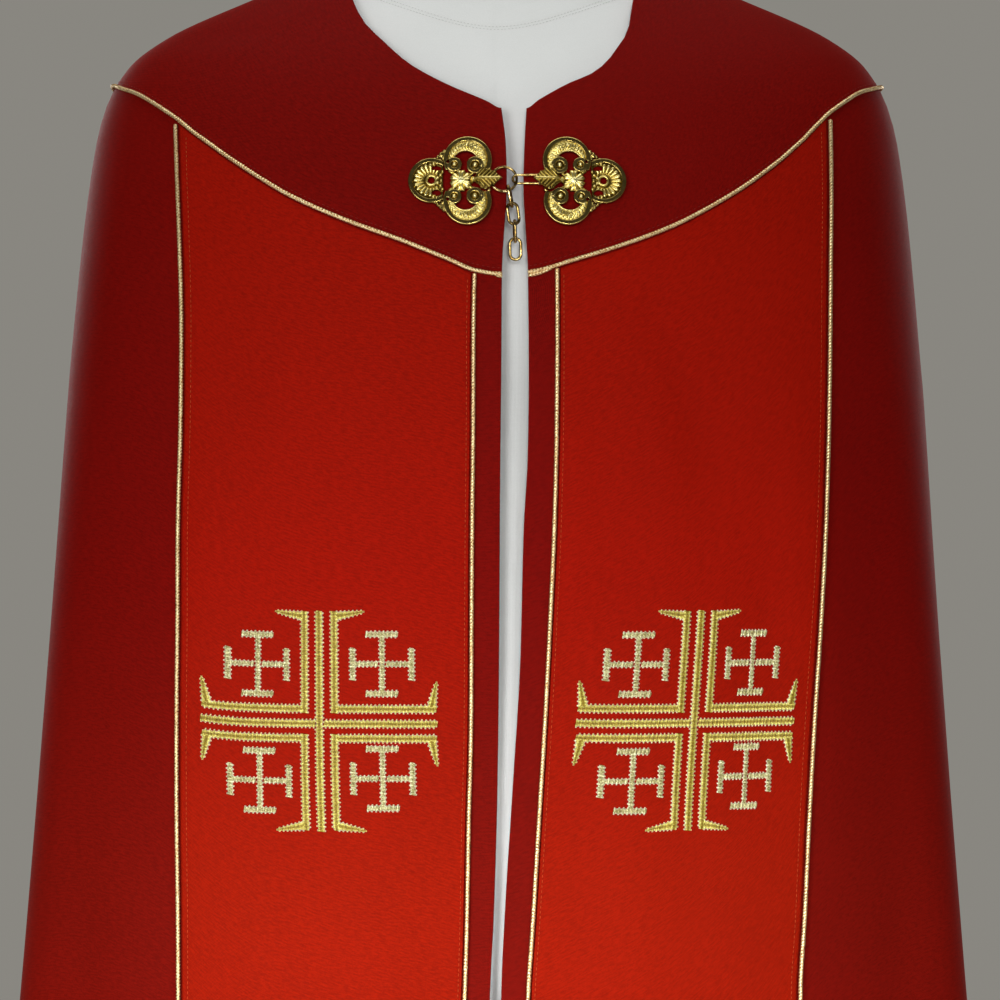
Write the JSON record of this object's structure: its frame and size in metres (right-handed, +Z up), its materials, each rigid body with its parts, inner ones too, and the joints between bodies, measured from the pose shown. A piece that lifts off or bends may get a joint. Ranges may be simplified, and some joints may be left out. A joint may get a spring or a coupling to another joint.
{
  "type": "cope vestment on dress form",
  "caption": "Full-length red cope with round yoke, gold-corded front bands and an openwork gilt clasp with a chain tail, hung on a limbless dress form on a pole stand.",
  "frame": {"origin": "centre of the underside of the stand's base", "axes": "+Z up, the garment's front faces -Y, +X is on the right of somebody who looks at the front"},
  "size_m": [0.8688, 0.4855, 1.622],
  "materials": {
    "crimson_gabardine": "fine dark crimson gabardine, soft sheen",
    "scarlet_gabardine": "fine bright red gabardine",
    "gold_cord": "twisted metallic pale-gold cord",
    "gilt_brass": "cast and gilt, darkened in the hollows",
    "white_jersey": "smooth white jersey cover",
    "satin_steel": "satin"
  },
  "bodies": {
    "cope": {"cope_body": "crimson_gabardine", "yoke": "crimson_gabardine", "orphrey_left": "scarlet_gabardine", "orphrey_right": "scarlet_gabardine", "cord_yoke": "gold_cord", "cord_left_outer": "gold_cord", "cord_left_inner": "gold_cord", "cord_right_inner": "gold_cord", "cord_right_outer": "gold_cord", "clasp_left": "gilt_brass", "clasp_right": "gilt_brass", "clasp_ring": "gilt_brass", "clasp_loop": "gilt_brass", "dress_form": "white_jersey", "stand_pole": "satin_steel", "stand_base": "satin_steel"},
    "link_1": {"chain_link_1": "gilt_brass"},
    "link_2": {"chain_link_2": "gilt_brass"},
    "link_3": {"chain_link_3": "gilt_brass"},
    "link_4": {"chain_link_4": "gilt_brass"}
  },
  "joints": [
    {"name": "link_1_swing", "type": "hinge", "parent": "cope", "child": "link_1", "pos_m": [0.00869, -0.15735, 1.3412], "axis": [1, 0, 0], "range_deg": [-60, 8]},
    {"name": "link_2_swing", "type": "hinge", "parent": "link_1", "child": "link_2", "pos_m": [0.01097, -0.15735, 1.32949], "axis": [0.1366, 0.9903, 0.0266], "range_deg": [-15, 6]},
    {"name": "link_3_swing", "type": "hinge", "parent": "link_2", "child": "link_3", "pos_m": [0.01276, -0.15735, 1.31676], "axis": [0.9418, 0.309, 0.1324], "range_deg": [-45, 12]},
    {"name": "link_4_swing", "type": "hinge", "parent": "link_3", "child": "link_4", "pos_m": [0.01321, -0.15735, 1.30391], "axis": [-0.0871, 0.9962, -0.003], "range_deg": [-30, 30]}
  ]
}
